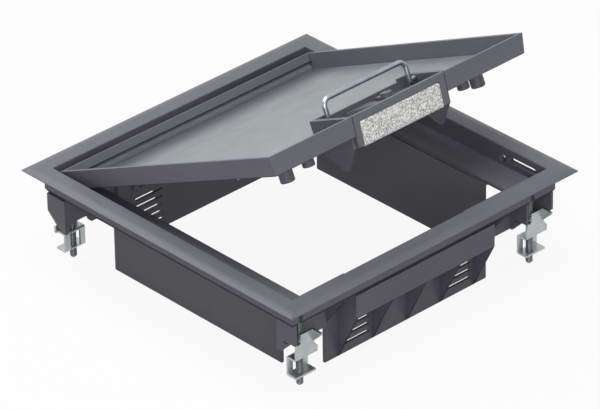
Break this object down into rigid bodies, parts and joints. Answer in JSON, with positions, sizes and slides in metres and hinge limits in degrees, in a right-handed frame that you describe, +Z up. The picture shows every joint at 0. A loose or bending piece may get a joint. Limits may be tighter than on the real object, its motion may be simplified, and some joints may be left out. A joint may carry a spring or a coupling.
{
  "type": "floor socket box",
  "caption": "Square floor box with a trim frame, louvred walls, screw-driven clamping claws and a hinged tray lid with a foam cable outlet and a wire bail.",
  "frame": {"origin": "centre of the trim frame at finished-floor level, on the plane of the rim's underside", "axes": "+Z up out of the floor, -Y towards the side where the cables leave, +Y towards the lid's hinge side, +X to the right when seen from the cable side"},
  "size_m": [0.264, 0.264, 0.1707],
  "materials": {
    "moulding": "dark grey moulded plastic, satin",
    "galvanised_plate": "galvanised sheet, dull with soft reflections",
    "zinc_steel": "zinc-plated folded steel",
    "wire": "smooth bright steel wire",
    "foam": "pale speckled open-cell foam"
  },
  "bodies": {
    "frame": {"trim_frame": "moulding", "side_wall_left": "moulding", "side_wall_right": "moulding", "end_wall_front": "moulding", "end_wall_hinge": "moulding", "corner_guide_front_left": "moulding", "corner_guide_front_right": "moulding", "corner_guide_hinge_right": "moulding", "corner_guide_hinge_left": "moulding"},
    "pins": {"lid_pins": "wire"},
    "lid": {"lid_frame": "moulding", "lid_plate": "galvanised_plate", "outlet_housing": "moulding", "outlet_catch": "moulding", "outer_pegs": "moulding", "inner_pegs": "moulding"},
    "flap": {"outlet_flap": "moulding", "outlet_foam": "foam"},
    "bail": {"bail": "wire"},
    "screw_front_left": {"clamp_screw_front_left": "zinc_steel"},
    "claw_front_left": {"claw_front_left": "zinc_steel"},
    "screw_front_right": {"clamp_screw_front_right": "zinc_steel"},
    "claw_front_right": {"claw_front_right": "zinc_steel"},
    "screw_hinge_right": {"clamp_screw_hinge_right": "zinc_steel"},
    "claw_hinge_right": {"claw_hinge_right": "zinc_steel"},
    "screw_hinge_left": {"clamp_screw_hinge_left": "zinc_steel"},
    "claw_hinge_left": {"claw_hinge_left": "zinc_steel"}
  },
  "joints": [
    {"name": "pin_slide", "type": "slide", "parent": "frame", "child": "pins", "axis": [0, -1, 0], "range_m": [-0.0051, 0.01297]},
    {"name": "lid_hinge", "type": "hinge", "parent": "pins", "child": "lid", "pos_m": [0, 0.10605, -0.0052], "axis": [-1, 0, 0], "range_deg": [-25.4, 64.6]},
    {"name": "outlet_flap_hinge", "type": "hinge", "parent": "lid", "child": "flap", "pos_m": [0, -0.09174, 0.09138], "axis": [1, 0, 0], "range_deg": [0, 15]},
    {"name": "bail_hinge", "type": "hinge", "parent": "lid", "child": "bail", "pos_m": [0, -0.0684, 0.08317], "axis": [1, 0, 0], "range_deg": [0, 90]},
    {"name": "screw_turn_front_left", "type": "hinge", "parent": "frame", "child": "screw_front_left", "pos_m": [-0.1068, -0.1115, -0.04], "axis": [0, 0, -1], "range_deg": [0, 65]},
    {"name": "claw_climb_front_left", "type": "slide", "parent": "screw_front_left", "child": "claw_front_left", "axis": [0, 0, 1], "range_m": [0, 0.01]},
    {"name": "screw_turn_front_right", "type": "hinge", "parent": "frame", "child": "screw_front_right", "pos_m": [0.1068, -0.1115, -0.04], "axis": [0, 0, -1], "range_deg": [0, 65]},
    {"name": "claw_climb_front_right", "type": "slide", "parent": "screw_front_right", "child": "claw_front_right", "axis": [0, 0, 1], "range_m": [0, 0.01]},
    {"name": "screw_turn_hinge_right", "type": "hinge", "parent": "frame", "child": "screw_hinge_right", "pos_m": [0.1068, 0.1115, -0.04], "axis": [0, 0, -1], "range_deg": [0, 65]},
    {"name": "claw_climb_hinge_right", "type": "slide", "parent": "screw_hinge_right", "child": "claw_hinge_right", "axis": [0, 0, 1], "range_m": [0, 0.01]},
    {"name": "screw_turn_hinge_left", "type": "hinge", "parent": "frame", "child": "screw_hinge_left", "pos_m": [-0.1068, 0.1115, -0.04], "axis": [0, 0, -1], "range_deg": [0, 65]},
    {"name": "claw_climb_hinge_left", "type": "slide", "parent": "screw_hinge_left", "child": "claw_hinge_left", "axis": [0, 0, 1], "range_m": [0, 0.01]}
  ],
  "couplings": [
    {"joint": "pin_slide", "follows": "lid_hinge", "m_per_rad": 0.0115}
  ]
}
